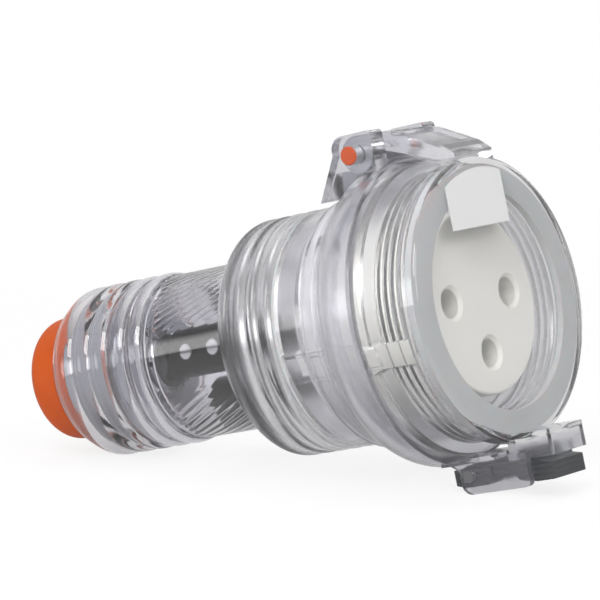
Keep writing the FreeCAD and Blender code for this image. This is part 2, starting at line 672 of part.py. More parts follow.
def make_latch_lever():
    low = LATCH_Z - LEVER_BELLY
    grip = LATCH_Z - FINGER_LOW
    rear = LATCH_X - LEVER_TAIL
    face = CATCH_FRONT + MOVING
    front = face + TOOTH_THICK
    tip = TAB_LOW + TOOTH_REACH
    boss = along_y(LATCH_X, LATCH_Z, LEVER_BOSS_R, -LEVER_HALF, LEVER_HALF)
    back_top = LATCH_Z + LEVER_BACK_TOP
    root = slab(-LEVER_HALF, LEVER_HALF, (rear, back_top), (rear, LATCH_Z - LEVER_BACK_LOW),
                (rear + LEVER_SLOPE, low), (LATCH_X + ROOT_LOW_END, low),
                (LATCH_X + ROOT_END, LATCH_Z - ROOT_STEP), (LATCH_X + ROOT_END, LEVER_TOP),
                (LATCH_X, LEVER_TOP), (LATCH_X - LEVER_SLOPE, back_top))
    start = LATCH_X + ARM_START
    arm = slab(-FINGER_HALF, FINGER_HALF, (start, LEVER_TOP), (start, LATCH_Z - ARM_THROAT),
               (KNEE_X, LATCH_Z - KNEE_DROP), (0, LATCH_Z - HEEL_DROP), (FINGER_BEND, grip),
               (FINGER_FRONT, grip), (FINGER_FRONT, LATCH_Z + FINGER_HIGH), (front, LEVER_TOP))
    base = LEVER_TOP - TOOTH_LAP
    tooth = slab(-TOOTH_HALF, TOOTH_HALF, (face, base), (face, tip), (front - TOOTH_BEVEL, tip),
                 (front, tip - TOOTH_BEVEL), (front, base))
    lever = boss.fuse([root, arm, tooth])
    across = LEVER_HALF + CUT_PAST
    lever = lever.cut(along_y(LATCH_X, LATCH_Z, LATCH_PIN_R + PIN_PLAY, -across, across))
    coil = LATCH_PIN_R + 4 * SPRING_WIRE_R + SPRING_COIL_ROOM
    half = SPRING_SLOT / 2
    lever = lever.cut(box(rear - SPRING_SLOT_TAIL, LATCH_X + coil, -half, half,
                          LATCH_Z - SPRING_SLOT_HALF, LATCH_Z + SPRING_SLOT_HALF))
    across = FINGER_HALF + CUT_PAST
    for i in range(FINGER_GRIPS):
        x = FINGER_FRONT - FINGER_GRIP_END - FINGER_GRIP_PITCH * i
        lever = lever.cut(box(x, x + FINGER_GRIP_WIDE, -across, across,
                              grip - CUT_PAST, grip + FINGER_GRIP_DEEP))
    return lever.removeSplitter()


def make_latch_pin():
    return along_y(LATCH_X, LATCH_Z, LATCH_PIN_R, -LATCH_EAR_OUT, LATCH_EAR_OUT)


def make_latch_spring():
    axis = FreeCAD.Vector(0, 1, 0)
    mean = LATCH_PIN_R + 2 * SPRING_WIRE_R + SPRING_ROOM
    pitch = 2 * SPRING_WIRE_R - SPRING_PRESS
    last = (SPRING_TURNS - 1) / 2 * pitch
    turns = []
    for i in range(SPRING_TURNS):
        middle = FreeCAD.Vector(LATCH_X, i * pitch - last, LATCH_Z)
        turns.append(Part.makeTorus(mean, SPRING_WIRE_R, middle, axis))
    low = FreeCAD.Vector(LATCH_X, last, LATCH_Z - mean)
    high = FreeCAD.Vector(LATCH_X, -last, LATCH_Z + mean)
    front_end = FreeCAD.Vector(LATCH_X + SPRING_FRONT, last, LATCH_Z - SPRING_DROP - SPRING_WIRE_R)
    rear_end = FreeCAD.Vector(LATCH_X - SPRING_BACK, -last, BRACKET_LOW - SPRING_WIRE_R - SPRING_CLEAR)
    legs = []
    for a, b in ((low, front_end), (high, rear_end)):
        legs.append(Part.makeCylinder(SPRING_WIRE_R, (b - a).Length, a, b - a))
    return turns[0].fuse(turns[1:] + legs).removeSplitter()


def make_socket_insert():
    edge = (FACE_X - FACE_EDGE, FACE_R - FACE_EDGE)
    insert = turned((FACE_X, 0), (FACE_X, edge[1]), (arc_middle(edge, FACE_EDGE, 45), (edge[0], FACE_R)),
                    (WELL_FLOOR + SLIDE, FACE_R), (WELL_FLOOR + SLIDE, INSERT_R),
                    (INSERT_BACK, INSERT_R), (INSERT_BACK, 0))
    half = CHANNEL_HALF - KEY_PLAY
    key = box(INSERT_BACK, LOCK_RING_BACK - KEY_END, INSERT_R - KEY_LAP, INSERT_R + KEY_HIGH,
              -half, half)
    insert = insert.fuse(about_axis(key, KEY_ANGLE))
    back = INSERT_BACK - CUT_PAST
    inside = along_x(back, CONTACT_FRONT - INSERT_FLOOR, 0, 0, INSERT_R - INSERT_WALL)
    holes = on_circle(HOLE_CIRCLE, HOLE_ANGLES)
    for y, z in holes:
        inside = inside.cut(along_x(back - CUT_PAST, FACE_X, y, z, CONTACT_R + TOWER_WALL))
    insert = insert.cut(inside)
    for y, z in holes:
        insert = insert.cut(along_x(back, CONTACT_FRONT + SLIDE, y, z, CONTACT_R + SLIDE))
        insert = insert.cut(along_x(CONTACT_FRONT - CUT_PAST, FACE_X + CUT_PAST, y, z, HOLE_R))
        start = FreeCAD.Vector(FACE_X - HOLE_FLARE, y, z)
        flare = Part.makeCone(HOLE_R, HOLE_R + HOLE_FLARE, HOLE_FLARE, start, FreeCAD.Vector(1, 0, 0))
        insert = insert.cut(flare)
    return insert.removeSplitter()


def make_contact(y, z):
    wire_end = TERMINAL_BACK + WIRE_DEPTH
    pin_end = CONTACT_BACK + CONTACT_END
    contact = turned((CONTACT_FRONT, CONTACT_BORE), (CONTACT_FRONT, CONTACT_R), (CONTACT_BACK, CONTACT_R),
                     (CONTACT_BACK, SHANK_R), (TERMINAL_FRONT, SHANK_R), (TERMINAL_FRONT, TERMINAL_R),
                     (TERMINAL_BACK, TERMINAL_R), (TERMINAL_BACK, WIRE_BORE), (wire_end, WIRE_BORE),
                     (wire_end, 0), (pin_end, 0), (pin_end, CONTACT_BORE))
    half = SLIT_WIDTH / 2
    across = CONTACT_R + CUT_PAST
    slit = box(CONTACT_FRONT - CONTACT_SLIT, CONTACT_FRONT + CUT_PAST, -across, across, -half, half)
    contact = contact.cut(slit).cut(about_axis(slit, 90))
    contact.translate(FreeCAD.Vector(0, y, z))
    for x in clamp_screws_at():
        contact = contact.cut(radial(x, y, z, 0, TERMINAL_R + CUT_PAST, CLAMP_SCREW_R + SLIDE))
    return contact.removeSplitter()


def clamp_screws_at():
    first = TERMINAL_BACK + CLAMP_SCREW_FIRST
    return [first, first + CLAMP_SCREW_PITCH]


def radial(x, y, z, near, far, r):
    # a rod that points away from the socket's axis, from near to far of the contact's axis
    out = FreeCAD.Vector(0, y, z).normalize()
    start = FreeCAD.Vector(x, y, z) + out * near
    return Part.makeCylinder(r, far - near, start, out)


def make_terminal_screws(y, z):
    out = FreeCAD.Vector(0, y, z).normalize()
    top = TERMINAL_R + CLAMP_SCREW_PROUD
    reach = CLAMP_SCREW_R + SCREW_SLOT_RUNOUT
    screws = []
    for x in clamp_screws_at():
        screw = radial(x, y, z, WIRE_BORE - CLAMP_SCREW_END, top, CLAMP_SCREW_R)
        start = FreeCAD.Vector(x - reach, y, z) + out * top
        groove = Part.makeCylinder(SCREW_SLOT / 2, 2 * reach, start, FreeCAD.Vector(1, 0, 0))
        screws.append(screw.cut(groove))
    return Part.makeCompound(screws)


def make_insert_lock_ring():
    front = WEB_BACK - SLIDE
    rim = TUBE_BORE_R - 2 * SLIDE
    ring = turned((front, INSERT_R + SLIDE), (front, rim), (LOCK_RING_BACK + LOCK_RING_EDGE, rim),
                  (LOCK_RING_BACK, rim - LOCK_RING_EDGE), (LOCK_RING_BACK, INSERT_R + SLIDE))
    for y, z in on_circle(LOCK_CIRCLE, LOCK_SCREW_ANGLES):
        ring = ring.cut(along_x(LOCK_RING_BACK - CUT_PAST, front + CUT_PAST, y, z, LOCK_SCREW_R + SLIDE))
    return ring


def make_insert_screws():
    top = LOCK_RING_BACK - LOCK_HEAD_HEIGHT
    half = SCREW_SLOT / 2
    across = LOCK_HEAD_R + CUT_PAST
    screws = []
    for y, z in on_circle(LOCK_CIRCLE, LOCK_SCREW_ANGLES):
        shaft = along_x(LOCK_RING_BACK - LOCK_SCREW_LAP, WELL_FLOOR - LOCK_SCREW_TIP, y, z, LOCK_SCREW_R)
        head = along_x(top, LOCK_RING_BACK - SLIDE, y, z, LOCK_HEAD_R)
        slot = box(top - CUT_PAST, top + LOCK_SLOT_DEEP, y - across, y + across, z - half, z + half)
        screws.append(shaft.fuse(head).cut(slot))
    return Part.makeCompound(screws)


def make_body_seal():
    inner = TUBE_BORE_R + 2 * SLIDE
    outer = TUBE_R - SEAL_INSET
    return turned((TUBE_BACK, inner), (TUBE_BACK, outer), (JOINT_X, outer), (JOINT_X, inner))


def make_rear_body():
    spigot = TUBE_BORE_R - SLIDE
    inside = spigot - SPIGOT_WALL
    groove = TUBE_R - GRIP_DEEP
    floor = REAR_FACE + REAR_WALL
    fillet = (REAR_FACE - NECK_FILLET, NECK_R + NECK_FILLET)
    grips = []
    for i in range(GRIP_COUNT):
        x = GRIP_START - i * GRIP_PITCH
        end = x - GRIP_PITCH
        grips += [((x - GRIP_HALF * GRIP_PITCH, TUBE_R), (end + GRIP_FLAT, groove)), (end, groove)]
    grips[-1] = (REAR_FACE, groove - GRIP_LAST_DROP)
    rings = thread(NECK_THREAD_START, NECK_THREAD_ROOT, NECK_THREAD_CREST, NECK_THREAD_PITCH,
                   NECK_THREAD_TURNS)
    body = turned((SPIGOT_FRONT, inside), (SPIGOT_FRONT, spigot), (JOINT_X, spigot),
                  (JOINT_X, TUBE_R - JOINT_EDGE), (GRIP_START, groove), *grips, (REAR_FACE, fillet[1]),
                  (arc_middle(fillet, NECK_FILLET, 315), (fillet[0], NECK_R)),
                  (NECK_END + NECK_EDGE, NECK_R), (NECK_END, NECK_R - NECK_EDGE),
                  (NECK_END, NECK_THREAD_ROOT), *rings, (NECK_TIP, NECK_THREAD_ROOT),
                  (NECK_TIP, NECK_TIP_BORE), (NECK_END + NECK_STEP_SHORT, NECK_TIP_BORE),
                  (NECK_END + NECK_STEP_LONG, NECK_BORE), (floor + NECK_FUNNEL, NECK_BORE),
                  (floor, NECK_BORE + NECK_FUNNEL), (floor, inside))
    return body.removeSplitter()


def make_gland_nut():
    groove = NUT_R - NUT_RIB_DEEP
    ribs = []
    for i in range(NUT_RIBS):
        x = NUT_FRONT - NUT_RIB_LEAD - i * NUT_RIB_PITCH
        middle = x - NUT_RIB_HALF * NUT_RIB_PITCH + NUT_RIB_EDGE
        ribs += [(x, groove), ((middle, NUT_R), (x - NUT_RIB_PITCH + 2 * NUT_RIB_EDGE, groove))]
    belly_x = (1 - NUT_BELLY_BACK) * NUT_RIBS_BACK + NUT_BELLY_BACK * NUT_BACK
    belly = (belly_x, (1 - NUT_BELLY_RIM) * groove + NUT_BELLY_RIM * NUT_RIM + NUT_BELLY_OUT)
    seat = GROMMET_SEAT - SLIDE
    room = FLANGE_R + NUT_ROOM
    end = NECK_TIP - NUT_END_ROOM
    nut = turned((NUT_FRONT, NUT_BORE), (NUT_FRONT, groove), *ribs, (belly, (NUT_BACK, NUT_RIM)),
                 (NUT_BACK, NUT_MOUTH), (seat, NUT_MOUTH), (seat, room), (end, room), (end, NUT_BORE))
    return nut.removeSplitter()


def make_gland_washer():
    front = NECK_TIP - SLIDE
    bore = CABLE_R + WASHER_ROOM
    return turned((front, bore), (front, FLANGE_R), (front - WASHER_THICK, FLANGE_R),
                  (front - WASHER_THICK, bore))


def make_press_sleeve():
    # carries the nut's push from the grommet to the washer
    front = NECK_TIP - WASHER_THICK - 2 * SLIDE
    back = GROMMET_FRONT + SLIDE
    bore = FLANGE_R - PRESS_WALL
    return turned((front, bore), (front, FLANGE_R), (back, FLANGE_R), (back, bore))


def make_cable_grip():
    flange = NECK_TIP + GRIP_FLANGE
    cone = flange + GRIP_CONE
    front = flange + GRIP_SLEEVE
    rim = NECK_TIP_BORE - SLIDE
    grip = turned((NECK_TIP, SLEEVE_BORE), (NECK_TIP, rim), (flange, rim), (cone, SLEEVE_R + GRIP_CONE_RISE),
                  (cone + GRIP_CONE_END, SLEEVE_R), (front, SLEEVE_R), (front, SLEEVE_BORE))
    half = GRIP_SLOT / 2
    slit = box(cone, front + CUT_PAST, 0, SLEEVE_R + GRIP_CONE, -half, half)
    for i in range(GRIP_SLOTS):
        grip = grip.cut(about_axis(slit, 360.0 * i / GRIP_SLOTS))
    return grip.removeSplitter()


def make_cord_seal():
    front = NECK_TIP + GRIP_FLANGE + GRIP_SLEEVE + CORD_SEAL_PROUD
    return turned((NECK_TIP, CORD_SEAL_BORE), (NECK_TIP, CORD_SEAL_R), (front, CORD_SEAL_R),
                  (front, CORD_SEAL_BORE))


def make_cable_grommet():
    r = GROMMET_ROUND
    centre = (GROMMET_BACK + r, GROMMET_R - r)
    lip = (GROMMET_BACK + GROMMET_LIP, CABLE_R + GROMMET_LIP)
    return turned((GROMMET_FRONT, CABLE_R), (GROMMET_FRONT, FLANGE_R), (GROMMET_SEAT, FLANGE_R),
                  (GROMMET_SEAT, GROMMET_R), (centre[0], GROMMET_R),
                  (arc_middle(centre, r, 135), (GROMMET_BACK, centre[1])), (GROMMET_BACK, lip[1]),
                  (arc_middle(lip, GROMMET_LIP, 225), (lip[0], CABLE_R)))


def rest_tilt():
    # the line that touches the latch ears' rounded corner and the nut's last rib from below
    rib_half = NUT_RIB_HALF * NUT_RIB_PITCH - NUT_RIB_EDGE
    rib_r = (rib_half * rib_half + NUT_RIB_DEEP * NUT_RIB_DEEP) / (2 * NUT_RIB_DEEP)
    rib = (NUT_RIBS_BACK + rib_half, -(NUT_R - rib_r))
    ear = (LATCH_EAR_REAR + LATCH_EAR_ROUND, LATCH_EAR_LOW + LATCH_EAR_ROUND)
    dx = ear[0] - rib[0]
    dz = ear[1] - rib[1]
    return math.atan2(dz, dx) + math.asin((rib_r - LATCH_EAR_ROUND) / math.hypot(dx, dz))


def place(shapes):
    # turns the front end up until latch bracket and nut share the floor, then sets them on z = 0
    angle = -math.degrees(rest_tilt())
    bounds = FreeCAD.BoundBox()
    for shape in shapes.values():
        shape.rotate(FreeCAD.Vector(0, 0, 0), FreeCAD.Vector(0, 1, 0), -angle)
        bounds.add(shape.optimalBoundingBox(False, False))
    for shape in shapes.values():
        shape.translate(FreeCAD.Vector(-bounds.Center.x, -bounds.Center.y, -bounds.ZMin))


def build():
    shapes = {
        "lid": make_lid(),
        "lid_seal": make_lid_seal(),
        "label_plate": make_label_plate(),
        "hinge_pin": make_hinge_pin(),
        "hinge_caps": make_hinge_caps(),
        "socket_body": make_socket_body(),
        "lid_collar": make_lid_collar(),
        "latch_lever": make_latch_lever(),
        "latch_pin": make_latch_pin(),
        "latch_spring": make_latch_spring(),
        "socket_insert": make_socket_insert(),
        "insert_lock_ring": make_insert_lock_ring(),
        "insert_screws": make_insert_screws(),
        "body_seal": make_body_seal(),
        "rear_body": make_rear_body(),
        "gland_nut": make_gland_nut(),
        "gland_washer": make_gland_washer(),
        "press_sleeve": make_press_sleeve(),
        "cable_grip": make_cable_grip(),
        "cord_seal": make_cord_seal(),
        "cable_grommet": make_cable_grommet(),
    }
    for i, (y, z) in enumerate(on_circle(HOLE_CIRCLE, HOLE_ANGLES)):
        shapes["contact_%d" % (i + 1)] = make_contact(y, z)
        shapes["terminal_screws_%d" % (i + 1)] = make_terminal_screws(y, z)
    return shapes


def main():
    shapes = build()
    place(shapes)
    os.makedirs("parts", exist_ok=True)
    for name, shape in shapes.items():
        shape.exportStep("parts/%s.step" % name)


main()
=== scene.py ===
# %% [markdown]
# # A clear inline socket connector
# The connector's solids come ready made, at their real size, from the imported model. This
# notebook gives each of them a finish, with the fine ribs, grain and stains that a moulding or
# a contact has and a solid lacks, and sets up a small white studio round them. Units are metres.

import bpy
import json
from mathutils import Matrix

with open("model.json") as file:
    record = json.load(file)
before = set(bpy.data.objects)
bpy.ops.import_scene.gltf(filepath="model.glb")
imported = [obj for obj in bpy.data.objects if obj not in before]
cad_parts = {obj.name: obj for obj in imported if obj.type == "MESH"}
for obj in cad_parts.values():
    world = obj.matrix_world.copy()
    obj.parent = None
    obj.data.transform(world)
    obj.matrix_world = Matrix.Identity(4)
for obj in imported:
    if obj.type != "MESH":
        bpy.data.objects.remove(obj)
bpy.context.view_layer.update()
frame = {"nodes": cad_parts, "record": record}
print("nodes:", sorted(frame["nodes"]))

# %% [markdown]
# ## Units and the connector's own axis
# Blender works in metres, and a connector is easier to think of in millimetres, so lengths are
# written as so many `MM`. The connector rests on its latch bracket and its gland nut, so its
# axis leans a little. Three lines of length one say which way is forward along that axis, which
# way is sideways, and which is upright from it. Finishes that follow the shape use them.

# %% Modules and units
import json
import math

import bpy
from mathutils import Matrix, Vector

MM = 0.001
TILT = math.radians(11.6447)
LID_FRONT = Vector((63.41, 0.0, 48.21)) * MM
FORWARD = (math.cos(TILT), 0.0, math.sin(TILT))
SIDEWAYS = (0.0, -1.0, 0.0)
UPRIGHT = (-math.sin(TILT), 0.0, math.cos(TILT))
print("the connector leans by", round(math.degrees(TILT), 2), "degrees")

# %% [markdown]
# ## The camera
# The picture was taken with a long lens from the socket's front quarter, a little above the
# table, so lines that run away from us hardly converge. The camera is placed by the point it
# looks at, its bearing, its height as an angle and a slight roll, because those four can be
# read off a photograph one at a time.

# %% Camera
LOOK_AT = Vector((23.04, -29.86, 49.47)) * MM
DISTANCE = 868.5 * MM
BEARING = math.radians(36.67)
HEIGHT = math.radians(7.39)
ROLL = math.radians(-2.07)
LENS_MM = 210.0
SENSOR_MM = 36.0

level_share = math.cos(HEIGHT)
away = Vector((math.sin(BEARING) * level_share, -math.cos(BEARING) * level_share, math.sin(HEIGHT)))
camera = bpy.data.objects.new("camera", bpy.data.cameras.new("camera"))
camera.data.lens = LENS_MM
camera.data.sensor_width = SENSOR_MM
camera.location = LOOK_AT + away * DISTANCE
level = away.to_track_quat("Z", "Y").to_matrix().to_4x4()
camera.matrix_world = Matrix.Translation(camera.location) @ level @ Matrix.Rotation(ROLL, 4, "Z")
bpy.context.scene.collection.objects.link(camera)
bpy.context.scene.camera = camera
print("camera at", [round(v, 4) for v in camera.location])

# %% [markdown]
# ## Shader sums in Python
# Blender's materials are graphs of nodes. A sum such as `grain * 0.2 + 0.4` is easier to read
# than three linked boxes, so one small class holds a node's output and turns Python's
# operators into Math nodes.

# %% A value that flows between shader nodes
class Flow:
    """An output of a shader node. Sums on it add Math nodes to its finish."""

    def __init__(self, finish, socket):
        self.finish = finish
        self.socket = socket

    def __add__(self, other):
        return self.finish.sum("ADD", self, other)

    def __sub__(self, other):
        return self.finish.sum("SUBTRACT", self, other)

    def __rsub__(self, other):
        return self.finish.sum("SUBTRACT", other, self)

    def __mul__(self, other):
        return self.finish.sum("MULTIPLY", self, other)

    def __pow__(self, other):
        return self.finish.sum("POWER", self, other)

    __radd__ = __add__
    __rmul__ = __mul__


# %% [markdown]
# ## One material and its nodes
# A second class stands for a material while it is being made. Everything that isn't a sum comes
# from its method `node`, and the others are short names for what all finishes need: noise, a
# ramp, a blend of two colours and a bump. Places are taken in the object's own coordinates,
# because all pieces share one frame and a pattern then runs on from piece to piece.

# %% A finish
class Finish:
    """A material under construction, with its Principled shader at hand."""

    def __init__(self, name, **plain):
        self.material = bpy.data.materials.new(name)
        self.material.use_nodes = True
        self.tree = self.material.node_tree
        self.shader = self.tree.nodes["Principled BSDF"]
        for socket, value in plain.items():
            self.set(socket.replace("_", " "), value)
        self.place = self.node("ShaderNodeTexCoord", out="Object")

    def node(self, kind, settings=None, sockets=None, out=0):
        """Adds a node: its settings first, then a value or a link for each named socket."""
        made = self.tree.nodes.new(kind)
        for name, value in (settings or {}).items():
            setattr(made, name, value)
        for name, value in (sockets or {}).items():
            self.join(value, made.inputs[name])
        return Flow(self, made.outputs[out])

    def join(self, value, socket):
        """Links a flow to a socket, or writes a plain value into it."""
        if isinstance(value, Flow):
            self.tree.links.new(value.socket, socket)
        else:
            socket.default_value = value

    def set(self, name, value):
        """Joins a value to one of the shader's sockets."""
        self.join(value, self.shader.inputs[name])

    def sum(self, operation, *values):
        """Adds one Math node."""
        return self.node("ShaderNodeMath", {"operation": operation}, dict(enumerate(values)))

    def noise(self, scale, detail=3.0, roughness=0.55, stretch=(1.0, 1.0, 1.0)):
        """Noise with `scale` lumps per metre, drawn out along an axis where stretch is under 1."""
        where = self.node("ShaderNodeVectorMath", {"operation": "MULTIPLY"}, {0: self.place, 1: stretch})
        sockets = {"Vector": where, "Scale": scale, "Detail": detail, "Roughness": roughness}
        return self.node("ShaderNodeTexNoise", {}, sockets, "Fac")

    def rise(self, value, low, high, first=0.0, last=1.0):
        """A ramp from first to last while value goes from low to high."""
        sockets = {"Value": value, "From Min": low, "From Max": high, "To Min": first, "To Max": last}
        return self.node("ShaderNodeMapRange", {}, sockets)

    def blend(self, share, first, second, kind="MIX"):
        """A colour between two others, by share; with kind ADD, the first and a share of the second."""
        settings = {"data_type": "RGBA", "blend_type": kind}
        # The Mix node takes colours at its sockets 6 and 7, and gives a colour at its output 2.
        return self.node("ShaderNodeMix", settings, {0: share, 6: first, 7: second}, 2)

    def bump(self, height, depth, normal=None):
        """Gives the shader a bumpy surface; depth is in metres. Returns the new normal."""
        sockets = {"Height": height, "Distance": depth, "Strength": 1.0}
        if normal:
            sockets["Normal"] = normal
        made = self.node("ShaderNodeBump", {}, sockets)
        self.set("Normal", made)
        return made

    def end_with(self, share, other):
        """Ends in a mix of the Principled shader and another, by the other's share."""
        own = Flow(self, self.shader.outputs[0])
        mixed = self.node("ShaderNodeMixShader", {}, {0: share, 1: own, 2: other})
        self.join(mixed, self.tree.nodes["Material Output"].inputs["Surface"])


# %% [markdown]
# ## Places on the connector
# The ribs of the neck and the dull part of the tube follow the connector and not the room. So
# three helpers turn a place into how far along the leaning axis it lies and how far round it.
# The dot product with a line of length one is the distance along that line.

# %% Places on the connector
def along(finish, line, place=None):
    """How far a place lies along a line of length one."""
    sockets = {0: place or finish.place, 1: line}
    return finish.node("ShaderNodeVectorMath", {"operation": "DOT_PRODUCT"}, sockets, "Value")


def from_lid(finish):
    """The place as seen from the middle of the lid's front face."""
    sockets = {0: finish.place, 1: LID_FRONT}
    return finish.node("ShaderNodeVectorMath", {"operation": "SUBTRACT"}, sockets)


def lengthwise(finish):
    """Metres ahead of the lid's front face along the connector's axis, and the angle round it."""
    place = from_lid(finish)
    ahead, aside, up = [along(finish, line, place) for line in (FORWARD, SIDEWAYS, UPRIGHT)]
    return ahead, finish.sum("ARCTAN2", up, aside)


# %% [markdown]
# ## Ribs on the neck
# The neck has fine slanting ribs, moulded in so that wet hands can hold it. They are far finer
# than anything else on the part, and as solids they would cost thousands of faces. A sine wave
# that climbs as it goes round gives their height to a bump instead. It dies away at both ends
# of the neck and on its level sides, where the mould parts.

# %% Ribs on the neck
NECK_SPAN = (-97.0 * MM, -70.0 * MM)
RIB_COUNT = 60
RIB_SLANT = 23.0
RIB_DEPTH = 0.055 * MM
RIB_END = 1.0 * MM
RIB_FADE = (0.35, 0.55)


def neck_ribs(finish):
    """Heights of the slanting ribs, above and below on the neck."""
    ahead, turn = lengthwise(finish)
    ribs = finish.sum("SINE", (turn - ahead * RIB_SLANT) * RIB_COUNT)
    back, front = NECK_SPAN
    past_back = finish.rise(ahead, back - RIB_END, back)
    on_neck = past_back * finish.rise(ahead, front, front + RIB_END, 1.0, 0.0)
    off_level = finish.sum("ABSOLUTE", finish.sum("SINE", turn))
    return ribs * on_neck * finish.rise(off_level, *RIB_FADE)


# %% [markdown]
# ## Where a clear piece changes
# One moulding can look different in two places. The tube is paler and duller at its mouth, the
# rear half is dull ahead of its neck, and the lid's arm and tab are greyer and duller than its
# window. A mask, zero on one part and one on the other, tells the finish where to change.

# %% Masks along the length and round the lid
LID_RADIUS = 36.0 * MM
RIM_EDGE = 1.0 * MM
ZONE_EDGE = 2.0 * MM
MOUTH_START = -30.0 * MM


def ahead_of(start):
    """A mask that is one ahead of a place on the connector's length and zero behind it."""
    def mask(finish):
        return finish.rise(lengthwise(finish)[0], start, start + ZONE_EDGE)
    return mask


def beyond_rim(finish):
    """A mask that is one on the lid's arm and tab, outside its rim, and zero on its window."""
    sockets = {0: from_lid(finish), 1: FORWARD}
    off_axis = finish.node("ShaderNodeVectorMath", {"operation": "CROSS_PRODUCT"}, sockets)
    reach = finish.node("ShaderNodeVectorMath", {"operation": "LENGTH"}, {0: off_axis}, "Value")
    return finish.rise(reach, LID_RADIUS, LID_RADIUS + RIM_EDGE)


# %% [markdown]
# ## Clear polycarbonate
# The shells are injection-moulded polycarbonate: clear, with a faint lavender-grey cast, a
# high index and slow waves in the surface left by the melt. Haze is the small share of light
# that the plastic scatters back. A lamp's direct light can't be traced through bent glass in
# reasonable time, so for shadow rays alone the material steps aside, and the pieces inside are
# lit as they are in air.

# %% Clear polycarbonate
POLYCARBONATE_IOR = 1.53
SHADOW_TINT = (0.97, 0.97, 0.98, 1.0)
MELT_WAVES = {"scale": 55.0, "detail": 2.0, "roughness": 0.5, "stretch": (0.5, 1.0, 1.0)}
SCUFFS = {"scale": 900.0, "detail": 4.0, "roughness": 0.7, "stretch": (0.2, 1.0, 1.0)}
SCUFF_POWER = 3.0
SCUFF_SHARE = 0.10


def clear_plastic(name, tint, smooth, wave, haze=0.02,
                  zone=None, zone_tint=None, zone_grain=0.0, ribs=None):
    """Clear plastic. A zone, where one is given, is a mask for a tint and a grain of its own."""
    finish = Finish(name, Base_Color=tint, IOR=POLYCARBONATE_IOR, Transmission_Weight=1.0 - haze)
    rough = smooth + finish.noise(**SCUFFS) ** SCUFF_POWER * SCUFF_SHARE
    if zone:
        share = zone(finish)
        rough = rough + share * zone_grain
        finish.set("Base Color", finish.blend(share, tint, zone_tint or tint))
    finish.set("Roughness", rough)
    normal = finish.bump(finish.noise(**MELT_WAVES), wave)
    if ribs:
        finish.bump(ribs(finish), RIB_DEPTH, normal)
    shadow_ray = finish.node("ShaderNodeLightPath", out="Is Shadow Ray")
    finish.end_with(shadow_ray, finish.node("ShaderNodeBsdfTransparent", {}, {"Color": SHADOW_TINT}))
    return finish.material


CLEAR_PIECES = {
    "clear_shell": {
        "tint": (0.93, 0.93, 0.958, 1.0), "smooth": 0.08, "wave": 0.25 * MM,
        "zone": ahead_of(MOUTH_START), "zone_tint": (0.97, 0.97, 0.98, 1.0), "zone_grain": 0.09},
    "clear_collar": {"tint": (0.81, 0.81, 0.85, 1.0), "smooth": 0.14, "wave": 0.25 * MM},
    "clear_rear": {"tint": (0.88, 0.875, 0.91, 1.0), "smooth": 0.04, "wave": 0.25 * MM},
    "clear_neck": {
        "tint": (0.955, 0.95, 0.975, 1.0), "smooth": 0.05, "wave": 0.25 * MM, "haze": 0.01,
        "zone": ahead_of(NECK_SPAN[1]), "zone_grain": 0.15, "ribs": neck_ribs},
    "clear_lid": {
        "tint": (0.955, 0.955, 0.965, 1.0), "smooth": 0.03, "wave": 0.15 * MM,
        "zone": beyond_rim, "zone_tint": (0.86, 0.86, 0.89, 1.0), "zone_grain": 0.15},
    "clear_grip": {"tint": (0.88, 0.875, 0.91, 1.0), "smooth": 0.12, "wave": 0.1 * MM, "haze": 0.01},
}
clear = {name: clear_plastic(name, **facts) for name, facts in CLEAR_PIECES.items()}
print("clear finishes:", ", ".join(clear))

# %% [markdown]
# ## Moulded opaque plastics
# The socket's insert is an off-white satin moulding. Its colour and its sheen drift a little
# over the surface, and a fine grain from the mould breaks up the gloss. The same recipe, with
# other colours and depths, makes the dark latch lever with its fine grooves, the grey rings
# inside the gland nut, the hinge's orange caps and the label.

# %% Moulded plastics
MOULDED_DRIFT = 0.12


def grey(value):
    """An opaque grey."""
    return (value, value, value, 1.0)


def moulded(name, light, dark, rough, grain=0.02 * MM, grain_scale=2600.0, groove=None):
    """An opaque moulding; a groove has a pitch and a depth, and the grooves run level."""
    finish = Finish(name)
    drift = finish.noise(scale=60.0, detail=3.0)
    finish.set("Base Color", finish.blend(drift, light, dark))
    finish.set("Roughness", rough + drift * MOULDED_DRIFT - MOULDED_DRIFT / 2)
    normal = finish.bump(finish.noise(scale=grain_scale, detail=2.0), grain)
    if groove:
        across = along(finish, UPRIGHT) * (math.tau / groove["pitch"])
        finish.bump(finish.sum("SINE", across), groove["depth"], normal)
    return finish.material


MOULDINGS = {
    "white_insert": {"light": (0.88, 0.87, 0.81, 1.0), "dark": (0.83, 0.82, 0.76, 1.0), "rough": 0.42},
    "dark_lever": {
        "light": (0.055, 0.058, 0.062, 1.0), "dark": (0.035, 0.037, 0.04, 1.0), "rough": 0.45,
        "grain": 0.05 * MM, "grain_scale": 1500.0, "groove": {"pitch": 1.4 * MM, "depth": 0.12 * MM}},
    "grey_washer": {"light": (0.34, 0.35, 0.37, 1.0), "dark": (0.27, 0.28, 0.30, 1.0), "rough": 0.4},
    "orange_pin": {"light": (0.50, 0.085, 0.025, 1.0), "dark": (0.43, 0.065, 0.018, 1.0), "rough": 0.3},
    "label_white": {"light": grey(0.62), "dark": grey(0.57), "rough": 0.35},
}
plastics = {name: moulded(name, **facts) for name, facts in MOULDINGS.items()}
print("moulded finishes:", ", ".join(plastics))

# %% [markdown]
# ## Rubber
# The grommet is bright orange rubber. The seals of lid and body are a pale frosted elastomer,
# and the sleeve that seals the cord is black. Rubber is matt with a soft sheen, lets a little
# light in and shows fine pits where the mould was etched. Glow is the share of light that sinks
# in and comes out again close by.

# %% Rubber
RUBBER_DRIFT = 0.16
PIT_DEPTH = 0.05 * MM
GLOW_REACH = 1.5 * MM


